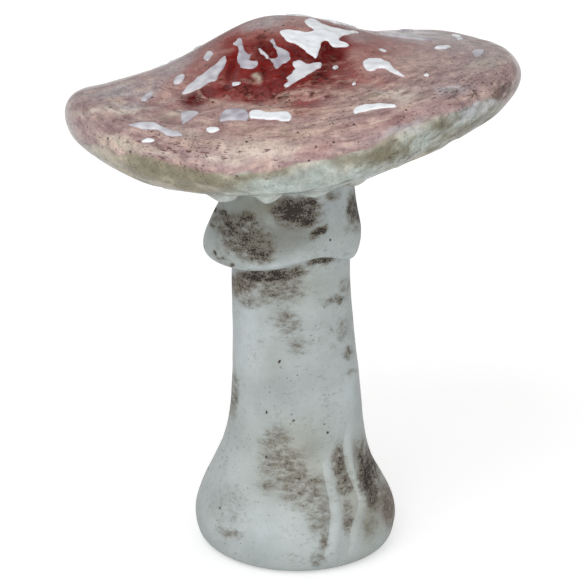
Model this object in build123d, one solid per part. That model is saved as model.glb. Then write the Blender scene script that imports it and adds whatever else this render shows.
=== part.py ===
from build123d import *
import math
import os

# Ceramic mushroom: a lidded hollow stem with a loose, lens-shaped cap resting on it.
# Millimetres. Z is up from the floor, X is to the viewer's right and -Y faces the viewer.

# Cap sizes
cap_radius = 84.0
rim_height = 177.0
crown_rise = 33.0
hub_drop = 31.0
cap_wall = 6.0
brim_wall = 8.0
brim_rise = 12.0
brim_rise_turn = -28.0
brim_saddle = 4.9
brim_saddle_turn = 14.0
brim_wave = 3.4
brim_wave_turn = 72.0
apex_lean_x = -8.5
apex_lean_y = -1.5
lobe_count = 10
lobe_height = 1.7
lobe_reach = 1.6
lobe_uneven = 0.45
lobe_uneven_turn = -150.0
hub_wave = 0.8
hub_wave_turn = -108.0
belly_hollow = 2.4
belly_hollow_turn = -102.0
belly_hollow_spread = 39.0

# Seat, recess and locating flange
seat_drop = 23.0
recess_clearance = 0.4
recess_seam_turn = 27.0
hub_lip = 1.0
flange_clearance = 1.4
flange_wall = 4.0
flange_length = 28.0

# Stem sizes
neck_radius = 22.9
foot_radius = 40.1
stem_sway = 2.6
stem_wall_thickness = 6.0
bore_overrun = 1.0
floor_recess = 3.0
floor_thickness = 6.0
vent_radius = 4.0

# Skirt sizes
skirt_gap = 1.5
skirt_height = 34.5
skirt_radius = 30.4
skirt_lean = 3.6
skirt_rise = 2.8
skirt_rise_turn = -30.0

# Raised clay runs on the foot
run_height = 1.5
run_width = 4.8
run_bottom = 5.0
run_sway = 5.2
left_run_length = 38.0
right_run_length = 49.0
left_run_turn = -64.0
right_run_turn = -45.0

# Rings and points on each ring that the smooth forms are drawn through
cap_rings = 24
hollow_rings = 14
stem_rings = 18
skirt_rings = 12
run_rings = 9
run_points = 8
round_points = 12
hollow_points = 20
scallop_points = 4 * lobe_count

# Outer cap at the hub: share of the hub radius, share of the hub drop
hub_stations = [
    (0.735, 0.975),
    (1.000, 0.958),
    (1.205, 0.900),
]

# Outer cap, hub to brim: share of the cap radius, share of the hub drop
underside_stations = [
    (0.520, 0.828),
    (0.740, 0.606),
    (0.915, 0.400),
    (0.978, 0.230),
    (0.999, 0.100),
]

# Outer cap, brim to apex: share of the cap radius, share of the crown rise
crown_stations = [
    (1.000, 0.042),
    (0.992, 0.150),
    (0.963, 0.220),
    (0.880, 0.292),
    (0.710, 0.400),
    (0.495, 0.560),
    (0.295, 0.780),
    (0.120, 0.950),
    (0.000, 1.000),
]

# Stem: share of the stem height, share of the swell from neck to foot, share of the sideways sway
stem_stations = [
    (0.000, 0.610, 1.00),
    (0.013, 0.730, 0.85),
    (0.039, 0.965, 0.62),
    (0.078, 1.000, 0.46),
    (0.130, 0.855, 0.27),
    (0.208, 0.517, 0.27),
    (0.299, 0.260, 0.54),
    (0.403, 0.150, 0.65),
    (0.552, 0.070, 0.27),
    (0.714, 0.023, -0.12),
    (0.877, 0.000, 0.00),
    (1.000, 0.000, 0.00),
]

# Skirt: share of the skirt height from the top, share of its overhang, share of its tilt
skirt_stations = [
    (0.000, 0.220, 0.0),
    (0.200, 0.260, 0.0),
    (0.350, 0.370, 0.1),
    (0.450, 0.520, 0.2),
    (0.590, 0.740, 0.4),
    (0.730, 0.940, 0.8),
    (0.840, 1.000, 1.0),
    (0.930, 0.900, 1.0),
    (0.990, 0.600, 1.0),
    (0.980, 0.150, 1.0),
]

# Runs, from the bottom: share of the run's length, share of its sway, share of its width
left_run_stations = [
    (0.00, -0.58, 0.70),
    (0.30, -0.20, 1.00),
    (0.50, 0.27, 0.75),
    (0.75, 0.23, 0.70),
    (1.00, 0.00, 0.50),
]
right_run_stations = [
    (0.00, -1.00, 0.70),
    (0.20, -0.95, 1.00),
    (0.29, -0.42, 0.90),
    (0.37, 0.55, 0.85),
    (0.60, 0.35, 0.65),
    (0.85, 0.48, 0.90),
    (1.00, 0.52, 0.60),
]

# Heights that follow from the sizes above
seat_height = rim_height - seat_drop
stem_height = seat_height
skirt_top = stem_height - skirt_gap


def turns(count):
    return [2 * math.pi * k / count for k in range(count)]


def even_stations(stations, count):
    """Evenly spaced stations on the smooth line through a few given ones."""
    line = Edge.make_spline([Vector(*station) for station in stations])
    steps = [line.length * k / count for k in range(count + 1)]
    return [line.position_at(step, PositionMode.LENGTH) for step in steps]


def closed_ring(points):
    """A smooth closed wire through points spaced evenly round the axis."""
    steps = [k / len(points) for k in range(len(points) + 1)]
    return Wire([Edge.make_spline(points, periodic=True, parameters=steps)])


def skirt_reach(depth):
    """Share of the skirt's overhang at a depth below its top."""
    drop = depth / skirt_height
    for (above, near, _), (below, far, _) in zip(skirt_stations, skirt_stations[1:]):
        if above <= drop <= below:
            return near + (far - near) * (drop - above) / (below - above)
    return 1.0


def recess_reach():
    """Radius of the recess in the hub, which clears the leaning skirt down to the lowest scallop."""
    hub_share, hub_fall = 0.34, hub_stations[0][1]
    deepest_lobe = (1 + lobe_uneven) * lobe_height + hub_wave
    lowest = rim_height - hub_fall * hub_drop - deepest_lobe - hub_share * brim_rise
    lean_room = skirt_radius - neck_radius + skirt_lean
    return neck_radius + skirt_reach(skirt_top - lowest) * lean_room + recess_clearance


# Radii of the fits between the cap and the stem
recess_radius = recess_reach()
hub_radius = recess_radius + hub_lip
flange_radius = neck_radius - stem_wall_thickness - flange_clearance


def lobe_share(radius):
    """How much of the scallop shows at a radius: all at the hub, none past it."""
    inner, outer = 1.12, 1.48
    return min(1.0, max(0.0, (outer - radius / hub_radius) / (outer - inner)))


def belly_share(radius):
    """How deep the hollow under the brim is at a radius: none at the hub and at the brim's edge."""
    share = (radius - hub_radius) / (cap_radius - hub_radius)
    return math.sqrt(math.sin(math.pi * min(1.0, max(0.0, share))))


def ripple(size, count, angle, turn):
    """Height of a wave that goes round the axis a number of times, with a crest at a turn in degrees."""
    return size * math.cos(count * (angle - math.radians(turn)))


def front_hollow(angle):
    """Depth of the hollow pressed under the front of the brim."""
    off = math.remainder(angle - math.radians(belly_hollow_turn), 2 * math.pi)
    share = off / math.radians(belly_hollow_spread)
    return belly_hollow * math.cos(min(1.0, abs(share)) * math.pi / 2) ** 2


def cap_point(radius, height, angle, wavy, lobe, belly, lean):
    """A point of the tilted, wavy cap at a station and an angle round the axis."""
    share = radius / cap_radius
    rise = ripple(share * brim_rise, 1, angle, brim_rise_turn)
    waves = ripple(brim_saddle, 2, angle, brim_saddle_turn) + ripple(brim_wave, 3, angle, brim_wave_turn)
    rise += wavy * share**2 * waves
    rise += lobe * ripple(hub_wave, 3, angle, hub_wave_turn) + belly * front_hollow(angle)
    scallop = lobe * math.cos(lobe_count * angle) * (1 + ripple(lobe_uneven, 2, angle, lobe_uneven_turn))
    reach = radius + lobe_reach * scallop
    x = reach * math.cos(angle) + lean * apex_lean_x
    y = reach * math.sin(angle) + lean * apex_lean_y
    return (x, y, height + rise - lobe_height * scallop)


def cap_form(stations, count, points, scalloped):
    """A closed form through the cap's rings, from its lowest station over the brim to the apex."""
    smooth = even_stations(stations, count)[:-1]
    widest = max(range(count), key=lambda k: smooth[k].X)
    rings = []
    for index, station in enumerate(smooth):
        wavy = min(1, index)
        below = scalloped and index < widest
        lobe = wavy * lobe_share(station.X) if below else 0.0
        belly = belly_share(station.X) if below else 0.0
        lean = 1 - station.X / smooth[widest].X if index > widest else 0.0
        ring = [cap_point(station.X, station.Z, a, wavy, lobe, belly, lean) for a in turns(points)]
        rings.append(closed_ring(ring))
    rings.append(Vertex(apex_lean_x, apex_lean_y, stations[-1][2]))
    return Solid.make_loft(rings)


def cap_body():
    """The whole outer form of the cap."""
    stations = [(share * hub_radius, 0, rim_height - drop * hub_drop) for share, drop in hub_stations]
    for share, drop in underside_stations:
        stations.append((share * cap_radius, 0, rim_height - drop * hub_drop))
    for share, rise in crown_stations:
        stations.append((share * cap_radius, 0, rim_height + rise * crown_rise))
    return cap_form(stations, cap_rings, scallop_points, True)


def cap_hollow():
    """The air space inside the cap, which leaves a pad over the seat and a thicker brim."""
    reach = cap_radius - brim_wall
    pad = seat_height + cap_wall + brim_rise * recess_radius / cap_radius
    stations = [(recess_radius, 0, pad)]
    for share, drop in underside_stations[:3]:
        stations.append((share * reach, 0, rim_height - drop * hub_drop + cap_wall))
    stations.append((reach, 0, rim_height))
    for share, rise in crown_stations[3:]:
        stations.append((share * reach, 0, rim_height + rise * crown_rise - cap_wall))
    return cap_form(stations, hollow_rings, hollow_points, False)


def upper_half():
    """Everything above the tilted plane on which the two cap shells meet."""
    rise = math.degrees(math.atan2(brim_rise, cap_radius))
    block = Pos(0, 0, 2 * cap_radius) * Box(4 * cap_radius, 4 * cap_radius, 4 * cap_radius)
    return Pos(0, 0, rim_height) * Rot(0, 0, brim_rise_turn) * Rot(0, -rise, 0) * block


def make_cap():
    """The crown shell, the fluted underside shell and the locating flange."""
    body = cap_body()
    hollow = cap_hollow()
    half = upper_half()
    crown = (body & half) - hollow
    hole = Rot(0, 0, recess_seam_turn) * Cylinder(recess_radius, 2 * hub_drop)
    recess = Pos(0, 0, seat_height - hub_drop) * hole
    underside = body - half - hollow - recess
    tube = Cylinder(flange_radius, flange_length) - Cylinder(flange_radius - flange_wall, flange_length)
    flange = Pos(0, 0, seat_height - flange_length / 2) * tube
    return crown, underside, flange


def round_ring(radius, height, sway):
    around = turns(round_points)
    return closed_ring([(radius * math.cos(a) + sway, radius * math.sin(a), height) for a in around])


def stem_line(count, grow, overrun):
    """The stem's side line, grown or shrunk by a wall: X is its radius, Y its sway and Z its height."""
    swell = foot_radius - neck_radius
    reach = stem_height + 2 * overrun
    stations = []
    for share, bulge, sway in stem_stations:
        stations.append((neck_radius + bulge * swell + grow, sway * stem_sway, share * reach - overrun))
    return even_stations(stations, count)


def stem_form(grow, overrun):
    """The stem's form, grown or shrunk by a wall, running past both ends by an overrun."""
    line = stem_line(stem_rings, grow, overrun)
    return Solid.make_loft([round_ring(station.X, station.Z, station.Y) for station in line])


def make_stem(form):
    """The hollow stem wall and the vented floor luted into its foot."""
    hollow = stem_form(-stem_wall_thickness, bore_overrun)
    wall = form - hollow
    plate = Box(4 * foot_radius, 4 * foot_radius, floor_thickness)
    slab = Pos(0, 0, floor_recess + floor_thickness / 2) * plate
    vent = Cylinder(vent_radius, 4 * floor_thickness)
    return wall, (hollow & slab) - vent


def skirt_ring(radius, height, tilt):
    """A slanting round ring of the skirt, its centre drifting to the viewer's left as it widens."""
    lean = skirt_lean * (radius - neck_radius) / (skirt_radius - neck_radius)
    points = []
    for a in turns(round_points):
        slant = tilt * skirt_rise * math.cos(a - math.radians(skirt_rise_turn))
        points.append((radius * math.cos(a) - lean, radius * math.sin(a), height + slant))
    return closed_ring(points)


def make_skirt(form):
    overhang = skirt_radius - neck_radius
    stations = []
    for drop, reach, tilt in skirt_stations:
        stations.append((neck_radius + reach * overhang, tilt, skirt_top - drop * skirt_height))
    line = even_stations(stations, skirt_rings)
    return Solid.make_loft([skirt_ring(station.X, station.Z, station.Y) for station in line]) - form


def stem_at(height):
    """The stem's radius and sway at a height, on short straight lines between many stations."""
    line = stem_line(8 * stem_rings, 0.0, 0.0)
    for low, high in zip(line, line[1:]):
        if low.Z <= height <= high.Z:
            return low + (high - low) * ((height - low.Z) / (high.Z - low.Z))
    return line[-1]


def run_ring(station, turn):
    """One rounded section of a run, half sunk in the stem's side."""
    side = stem_at(station.X)
    azimuth = math.radians(turn) + station.Y / side.X
    points = []
    for a in turns(run_points):
        reach = side.X + station.Z / run_width * run_height * math.sin(a)
        across = station.Z / 2 * math.cos(a)
        x = reach * math.cos(azimuth) - across * math.sin(azimuth)
        y = reach * math.sin(azimuth) + across * math.cos(azimuth)
        points.append((x + side.Y, y, station.X))
    return closed_ring(points)


def make_run(form, turn, length, stations):
    """One raised clay run down the foot, wavering as it goes."""
    line = []
    for share, sway, width in stations:
        line.append((run_bottom + share * length, sway * run_sway, width * run_width))
    return Solid.make_loft([run_ring(station, turn) for station in even_stations(line, run_rings)]) - form


def build():
    form = stem_form(0.0, 0.0)
    crown, underside, flange = make_cap()
    wall, floor = make_stem(form)
    return {
        "stem_wall": wall,
        "stem_floor": floor,
        "stem_skirt": make_skirt(form),
        "foot_run_left": make_run(form, left_run_turn, left_run_length, left_run_stations),
        "foot_run_right": make_run(form, right_run_turn, right_run_length, right_run_stations),
        "cap_crown": crown,
        "cap_underside": underside,
        "cap_flange": flange,
    }


os.makedirs("parts", exist_ok=True)
for name, solid in build().items():
    solid.label = name
    export_step(solid, "parts/" + name + ".step")
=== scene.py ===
import math

import bpy
import numpy as np
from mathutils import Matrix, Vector, noise
from mathutils.bvhtree import BVHTree


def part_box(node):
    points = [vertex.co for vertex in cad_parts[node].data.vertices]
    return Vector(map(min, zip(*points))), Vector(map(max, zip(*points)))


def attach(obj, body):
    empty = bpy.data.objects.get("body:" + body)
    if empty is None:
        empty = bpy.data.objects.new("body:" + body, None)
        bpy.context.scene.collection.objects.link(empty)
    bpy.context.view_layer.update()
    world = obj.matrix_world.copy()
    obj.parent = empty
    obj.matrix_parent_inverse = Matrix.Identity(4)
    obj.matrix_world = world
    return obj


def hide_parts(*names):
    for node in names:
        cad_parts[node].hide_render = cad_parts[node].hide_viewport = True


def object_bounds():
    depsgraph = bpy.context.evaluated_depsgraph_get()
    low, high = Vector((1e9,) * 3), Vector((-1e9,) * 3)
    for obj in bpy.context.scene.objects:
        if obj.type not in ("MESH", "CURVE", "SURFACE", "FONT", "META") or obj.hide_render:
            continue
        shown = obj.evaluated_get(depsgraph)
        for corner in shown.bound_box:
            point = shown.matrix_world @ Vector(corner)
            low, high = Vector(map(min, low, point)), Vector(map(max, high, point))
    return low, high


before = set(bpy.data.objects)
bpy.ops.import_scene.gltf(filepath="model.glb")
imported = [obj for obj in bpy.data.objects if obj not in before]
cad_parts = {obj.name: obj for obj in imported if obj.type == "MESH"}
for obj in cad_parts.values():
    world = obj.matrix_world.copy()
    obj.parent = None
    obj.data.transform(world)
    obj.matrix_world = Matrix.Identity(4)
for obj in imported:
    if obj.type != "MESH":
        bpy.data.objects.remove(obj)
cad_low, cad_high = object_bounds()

# A glazed mushroom ornament: the cap's two shells, the stem, its skirt and its foot runs, in metres.

# The photograph's camera: pixels, metres and radians
photo_size = 585
focal_pixels = 2227.0
camera_place = np.array([0.0003, -0.8, 0.3942])
camera_pitch = math.radians(20.1)
sensor_width = 36.0

# How finely the surfaces are drawn
cast_columns = 180
cap_columns = 480
crown_casts = 170
crown_rows = 170
crown_ease = 1.7
underside_casts = 200
underside_rows = 110
underside_turn = -1.0
hollow_casts = 24
hollow_rows = 14
hollow_turn = 2e-3
hollow_ease = 1.2
stem_columns = 320
stem_rows = 220
foot_rows = 24
foot_height = 0.012
bore_rows = 30
skirt_casts = 260
skirt_rows = 96
skirt_turn = 0.9
skirt_inner_rows = 14
far = 0.5
camera_reach = 2.0
hair = 2e-5
recess_hair = 5e-5
pole_hair = 1e-3
parting_hair = 4e-4
parting_search = 0.5
parting_rounds = 26
kept_waves = 0.36
sharp_angle = math.radians(50)
noise_steps = (17.3, 5.1, 9.7)

# Hand-formed unevenness of the clay
lump_size = 0.022
lump_depth = 0.0008
dent_size = 0.008
dent_depth = 0.0003
press_depth = 0.0014
fade_rows = 14

# Waves of the skirt's lip: azimuth in degrees, half width in degrees, rise
lip_waves = [(-70, 24, 0.0029), (-25, 20, -0.0022)]
lip_share_low = 0.26
lip_share_high = 0.70

# How far the upper glaze has run down past the brim
glaze_run = 0.0045
glaze_fringe = 0.001

# Seeds of the painting
cap_seed = 3
stem_seed = 40
skirt_seed = 60

# Raised runs on the foot
run_rows = 90
run_columns = 17
run_spread = 1.55
run_rise = 0.0016
run_waver = 0.02
run_waver_size = 0.012
run_feather = 0.00006
run_root = 0.0008
run_grain = 0.006
run_oxide = 0.75
run_casts = 40
run_azimuths = 360

# Thin flecks on the crown that carry painted highlights and reflections
fleck_height = 0.0007
fleck_fold = 0.003
fleck_sink = 0.0004
fleck_edge = 0.0011
fleck_step = 0.0003
fleck_waver = 0.0004
fleck_waver_size = 0.0025
fleck_feather = 0.00003

# Lamps: name, place, aim, size, watts, whether they show in reflections
lamps = [
    ("key_light", (-0.7, -1.1, 1.6), (0, 0, 0.12), 1.4, 10.0, True),
    ("front_light", (0.1, -2.0, 0.5), (0, 0, 0.1), 1.6, 14.0, True),
    ("back_light", (0.4, 2.0, 0.7), (0, 0, 0.1), 1.6, 7.0, False),
]

# Shares of the white surround, and the floor
ambient = 0.56
dim_overhead = 0.06
dim_behind = 0.35
near_glow = 0.42
far_glow = 0.56
glow_start = 0.3
glow_end = 2.0
floor_half = 6.0
floor_grey = 0.82

# How unevenly daubs end, in pixels and metres
daub_edge = 1.5
cap_ragged = 5.0
stem_ragged = 4.0
ragged_coarse = 0.012
ragged_fine = 0.0035

# Brushed coordinates: turns round the axis and lengths along the surface
flow_round = 3.4
flow_along = 330

# Patches in the glazes: size, seed, gain, shift, most
press_patches = (0.0095, 5, 1.6, 0.0, 1.0)
rose_patches = (0.006, 9, 2.0, -0.35, 0.6)
blush_patches = (0.03, 10, 2.2, -0.5, 0.7)
crimson_patches = (0.012, 11, 0.6, 0.75, 1.0)
moss_patches = (0.005, 17, 2.0, -0.5, 0.5)
rust_patches = (0.008, 22, 1.0, 0.35, 1.0)
beige_patches = (0.007, 23, 1.8, -0.25, 0.6)
rough_patches = (0.0032, 24, 2.4, -0.1, 0.75)
oxide_patches = (1.5, -0.25, 0.62)
oxide_patch_size = 0.028

# Noise in the glazes: scale, detail, roughness
blotch_grain = (1.0, 4.0, 0.55)
sweep_grain = (1.0, 6.0, 0.6)
brush_grain = (1.0, 4.0, 0.6)
dash_grain = (1.0, 2.0, 0.5)
mottle_grain = (230.0, 5.0, 0.65)
fine_grain = (900.0, 3.0, 0.6)
cluster_grain = (75.0, 2.0, 0.5)
speck_grain = (1050.0, 2.0, 0.5)
crack_grain = (170.0, 3.0, 0.6)
cloud_grain = (95.0, 4.0, 0.6)
sponge_grain = (260.0, 7.0, 0.74)
powder_grain = (1600.0, 2.0, 0.6)
scuff_grain = (420.0, 6.0, 0.75)
worn_grain = (60.0, 3.0, 0.6)
pinhole_grain = (1100.0, 2.0, 0.5)
fleck_grain = (300.0, 3.0, 0.5)
clay_grain = (120.0, 5.0, 0.6)

# How noise is stretched: round the cap and along it, or round the stem and up it
blotch_stretch = (2.2, 2.2, 0.9)
brush_stretch = (2.4, 2.4, 2.8)
dash_stretch = (7.0, 7.0, 3.6)
sponge_stretch = (1.0, 1.0, 2.0)
scuff_stretch = (1.0, 1.0, 1.7)

# Scattered spots: scale, size, chance
cap_pits = (330.0, 0.22, 0.3)
stem_pits = (125.0, 0.11, 0.5)
fleck_pits = (520.0, 0.16, 0.12)
clay_grog = (700.0, 0.3, 0.4)

# Heights and radii read from the frame
seat_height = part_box("stem_wall")[1].z
parting_height = (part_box("cap_crown")[0].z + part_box("cap_underside")[1].z) / 2
skirt_low, skirt_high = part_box("stem_skirt")
parting_centre = Vector((0.0, 0.0, parting_height))
skirt_centre = Vector((0.0, 0.0, (skirt_low.z + skirt_high.z) / 2))


def linear(red, green, blue):
    """A display colour of 0 to 255 as linear light."""
    shares = np.array([red, green, blue]) / 255.0
    return np.where(shares <= 0.04045, shares / 12.92, ((shares + 0.055) / 1.055) ** 2.4)


# Glaze colours
crimson = linear(126, 24, 20)
garnet = linear(92, 10, 9)
wine = linear(142, 62, 57)
rose = linear(164, 108, 102)
dusty = linear(180, 142, 137)
mauve_and_sheen = linear(176, 150, 148)
# Mauve, frost and silver also paint sheen of the glaze on the crown
plum = linear(90, 46, 50)
mulberry = linear(128, 92, 94)
blush = linear(214, 186, 172)
cream = linear(226, 212, 199)
beige = linear(203, 192, 175)
olive = linear(145, 139, 118)
moss = linear(128, 123, 102)
celadon = linear(194, 205, 200)
frost_and_sheen = linear(196, 197, 200)
painted_light_white = linear(230, 238, 234)
sheen_silver = linear(186, 182, 186)
chestnut = linear(104, 72, 60)
russet = linear(80, 44, 34)
umber = linear(36, 24, 18)
oxide_and_shadow_wash = linear(108, 99, 85)
scratch_grey = linear(126, 127, 118)
# White of painted highlights and lavender of painted reflections, for the crown's flecks
painted_highlight_white = linear(247, 250, 254)
painted_reflection_lavender = linear(176, 170, 180)
stem_white = linear(180, 188, 187)
stem_warm = linear(166, 167, 157)
stem_blue = linear(166, 173, 178)
stem_pale_and_painted_light = linear(195, 203, 205)
skirt_grey = linear(128, 130, 124)
skirt_olive = linear(128, 128, 112)
rust = linear(140, 118, 106)
clay = linear(196, 176, 150)


# Where things show in the photograph

def to_pixels(points):
    """Pixels of the photograph at which points of the object show."""
    away = points - camera_place
    depth = away[:, 1] * math.cos(camera_pitch) - away[:, 2] * math.sin(camera_pitch)
    rise = away[:, 1] * math.sin(camera_pitch) + away[:, 2] * math.cos(camera_pitch)
    across = photo_size / 2 + focal_pixels * away[:, 0] / depth
    down = photo_size / 2 - focal_pixels * rise / depth
    return np.stack([across, down], axis=1)


def pixel_ray(across, down):
    """The direction from the camera through a pixel."""
    side = (across - photo_size / 2) / focal_pixels
    rise = (photo_size / 2 - down) / focal_pixels
    ahead = math.cos(camera_pitch) + rise * math.sin(camera_pitch)
    up = rise * math.cos(camera_pitch) - math.sin(camera_pitch)
    return Vector((side, ahead, up)).normalized()


# Surfaces read from the frame by rays

def tree_over(mesh):
    """A search tree over a mesh."""
    points = [vertex.co for vertex in mesh.vertices]
    return BVHTree.FromPolygons(points, [face.vertices for face in mesh.polygons])


def search_tree(name):
    """A search tree over a CAD node's mesh."""
    return tree_over(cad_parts[name].data)


def cast(tree, centre, azimuth, elevation, inward):
    """Where a ray through a centre meets a surface, going in from outside or out from the centre."""
    level = math.cos(elevation)
    way = Vector((level * math.cos(azimuth), level * math.sin(azimuth), math.sin(elevation)))
    if inward:
        return tree.ray_cast(centre + way * far, -way, far)[0]
    return tree.ray_cast(centre, way, far)[0]


def around(count):
    return np.arange(count) * 2 * math.pi / count


def resample(line, count):
    """Points evenly spaced along a line of points."""
    line = np.array(line)
    steps = np.linalg.norm(np.diff(line, axis=0), axis=1)
    lengths = np.concatenate([[0.0], np.cumsum(steps)])
    spots = np.linspace(0.0, lengths[-1], count)
    return np.stack([np.interp(spots, lengths, line[:, k]) for k in range(3)], axis=1)


def refine(grid, count):
    """The same rings with more points, each ring a smooth closed curve."""
    waves = np.fft.rfft(grid, axis=1)
    waves[:, int(kept_waves * grid.shape[1]):] = 0
    return np.fft.irfft(waves, count, axis=1) * (count / grid.shape[1])


def soften(grid, rounds):
    """Evens out small steps along each column, with the first and last rows kept."""
    for _ in range(rounds):
        grid[1:-1] = (grid[:-2] + 2 * grid[1:-1] + grid[2:]) / 4
    return grid


def parting_elevation(azimuth):
    """Elevation at which the crown shell begins, seen from the middle of the parting plane."""
    low, high = -parting_search, parting_search
    for _ in range(parting_rounds):
        middle = (low + high) / 2
        if cast(crown_tree, parting_centre, azimuth, middle, True) is None:
            low = middle
        else:
            high = middle
    return high + parting_hair


def sweep(tree, centre, azimuth, start, end, count, inward, ease=1.0):
    """Points met by rays that turn from one elevation to another."""
    spots = []
    for share in np.linspace(0.0, 1.0, count) ** ease:
        spot = cast(tree, centre, azimuth, start + (end - start) * share, inward)
        if spot is not None:
            spots.append(spot)
    return spots


def turned_rings(lines, count):
    """Columns of points as a grid of rings with more points round."""
    return refine(np.array(lines).transpose(1, 0, 2), count)


# Uneven clay

def wander(points, size, seed):
    """Smooth noise from -1 to 1 with features of a given size."""
    shift = Vector([step * seed for step in noise_steps])
    return np.array([noise.noise(Vector(point) / size + shift) for point in points])


def patches(places, size, seed, gain, shift, most):
    """Patches of noise: none where it is low, rising to a limit."""
    return np.clip(gain * wander(places, size, seed) + shift, 0.0, most)


def grid_normals(grid, centre):
    """Outward normals of a grid of rings."""
    along = np.gradient(grid, axis=0)
    across = np.roll(grid, -1, axis=1) - np.roll(grid, 1, axis=1)
    normals = np.cross(across, along)
    normals /= np.maximum(np.linalg.norm(normals, axis=2, keepdims=True), 1e-12)
    out = np.sum(normals * (grid - np.array(centre)), axis=2, keepdims=True)
    return normals * np.where(np.mean(out) < 0, -1.0, 1.0)


def dented(grid, centre, depth, held, extra=None):
    """The grid pressed in here and there, never out, as hands leave clay, but not at the ends held."""
    flat = grid.reshape(-1, 3)
    press = 0.5 + 0.5 * wander(flat, lump_size, 1)
    fine = 0.5 + 0.5 * wander(flat, dent_size, 2)
    amount = depth * (press + dent_depth / lump_depth * fine)
    if extra is not None:
        amount = amount + extra(flat)
    rows = np.arange(len(grid))
    hold = np.ones(len(grid))
    if "first" in held:
        hold = hold * np.clip(rows / fade_rows, 0.0, 1.0)
    if "last" in held:
        hold = hold * np.clip(rows[::-1] / fade_rows, 0.0, 1.0)
    hold = hold**2 * (3 - 2 * hold)
    amount = amount.reshape(grid.shape[:2]) * hold[:, None]
    return grid - grid_normals(grid, centre) * amount[:, :, None]


# Meshes

def mesh_object(name, points, faces):
    mesh = bpy.data.meshes.new(name)
    mesh.from_pydata([tuple(point) for point in points], [], [tuple(face) for face in faces])
    mesh.update()
    item = bpy.data.objects.new(name, mesh)
    bpy.context.scene.collection.objects.link(item)
    mesh.shade_smooth()
    mesh.set_sharp_from_angle(angle=sharp_angle)
    return item


def volume_sign(points, quads):
    a, b, c = (points[quads[:, k]] for k in range(3))
    d = points[quads[:, 3]]
    first = np.einsum("ij,ij->i", a, np.cross(b, c)).sum()
    return first + np.einsum("ij,ij->i", a, np.cross(c, d)).sum()


def ring_object(name, grid, poles=None):
    """A closed mesh over rings: between two poles, or joined from its last ring to its first."""
    rows, columns = grid.shape[:2]
    points = grid.reshape(-1, 3)
    index = np.arange(rows * columns).reshape(rows, columns)
    if poles is None:
        index = np.concatenate([index, index[:1]])
    beside = np.roll(index, -1, axis=1)
    quads = np.stack([index[:-1], beside[:-1], beside[1:], index[1:]], axis=-1).reshape(-1, 4)
    flip = volume_sign(points, quads) < 0
    faces = [quad[::-1] if flip else quad for quad in quads.tolist()]
    if poles is not None:
        points = np.concatenate([points, np.array(poles)])
        first, last = rows * columns, rows * columns + 1
        for k in range(columns):
            start = [first, int(beside[0, k]), int(index[0, k])]
            end = [last, int(index[-1, k]), int(beside[-1, k])]
            faces += [start[::-1], end[::-1]] if flip else [start, end]
    return mesh_object(name, points, faces)


def vertex_data(item):
    """Places and normals of an object's vertices."""
    mesh = item.data
    places = np.zeros(3 * len(mesh.vertices))
    normals = np.zeros(3 * len(mesh.vertices))
    mesh.vertices.foreach_get("co", places)
    mesh.vertex_normals.foreach_get("vector", normals)
    return places.reshape(-1, 3), normals.reshape(-1, 3)


def set_colour(item, name, colours):
    layer = item.data.attributes.new(name, "FLOAT_COLOR", "POINT")
    full = np.concatenate([colours, np.ones((len(colours), 1))], axis=1)
    layer.data.foreach_set("color", full.astype(np.float32).ravel())


def set_share(item, name, shares):
    layer = item.data.attributes.new(name, "FLOAT", "POINT")
    layer.data.foreach_set("value", np.asarray(shares, np.float32))


def set_flow(item, places, reach):
    """Coordinates that run slowly round the axis and fast along the surface, for brushed streaks."""
    azimuth = np.arctan2(places[:, 1], places[:, 0])
    flow = np.stack([flow_round * np.cos(azimuth), flow_round * np.sin(azimuth), flow_along * reach], axis=1)
    layer = item.data.attributes.new("flow", "FLOAT_VECTOR", "POINT")
    layer.data.foreach_set("vector", flow.astype(np.float32).ravel())


def grid_reach(grid):
    """Distance along each column of a grid from its first ring, with one more value for each pole."""
    steps = np.linalg.norm(np.diff(grid, axis=0), axis=2)
    reach = np.concatenate([np.zeros((1, grid.shape[1])), np.cumsum(steps, axis=0)])
    return np.concatenate([reach.ravel(), [0.0, reach[-1].mean()]])


# Painting by listed daubs

def daub(pixels, across, down, width, height, turn):
    """Share of a soft oval daub at each pixel place: 1 in its middle, falling to 0 outside."""
    right = pixels[:, 0] - across
    below = pixels[:, 1] - down
    c, s = math.cos(math.radians(turn)), math.sin(math.radians(turn))
    along = (right * c + below * s) / width
    beside = (below * c - right * s) / height
    return np.exp(-((along**2 + beside**2) ** daub_edge))


def strongest(pixels, daubs):
    """The largest share of several daubs, each with its strength last."""
    return np.max([strength * daub(pixels, *oval) for *oval, strength in daubs], axis=0)


def ragged(places, pixels, amount, seed):
    """Pixel places pushed about so that daubs get uneven edges."""
    coarse = np.stack([wander(places, ragged_coarse, seed + k) for k in (0, 1)], axis=1)
    fine = np.stack([wander(places, ragged_fine, seed + k) for k in (2, 3)], axis=1)
    return pixels + amount * (coarse + 0.5 * fine)


def facing(places, normals):
    """How squarely each point faces the photograph's camera, from -1 to 1."""
    way = camera_place - places
    way /= np.linalg.norm(way, axis=1, keepdims=True)
    return np.sum(way * normals, axis=1)


def seen(towards):
    """Share to which points show in the photograph."""
    return np.clip(10 * towards + 1, 0.0, 1.0)


def unseen(towards):
    """Share to which points lie well out of the photograph's sight."""
    return np.clip(-4 * towards, 0.0, 1.0)


def blend(colours, tint, share):
    return colours + (tint - colours) * share[:, None]


def by_share(share, stops):
    """Colours along a list of stops, each a share and a colour."""
    spots, tints = zip(*stops)
    return np.stack([np.interp(share, spots, [tint[k] for tint in tints]) for k in range(3)], axis=1)
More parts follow.
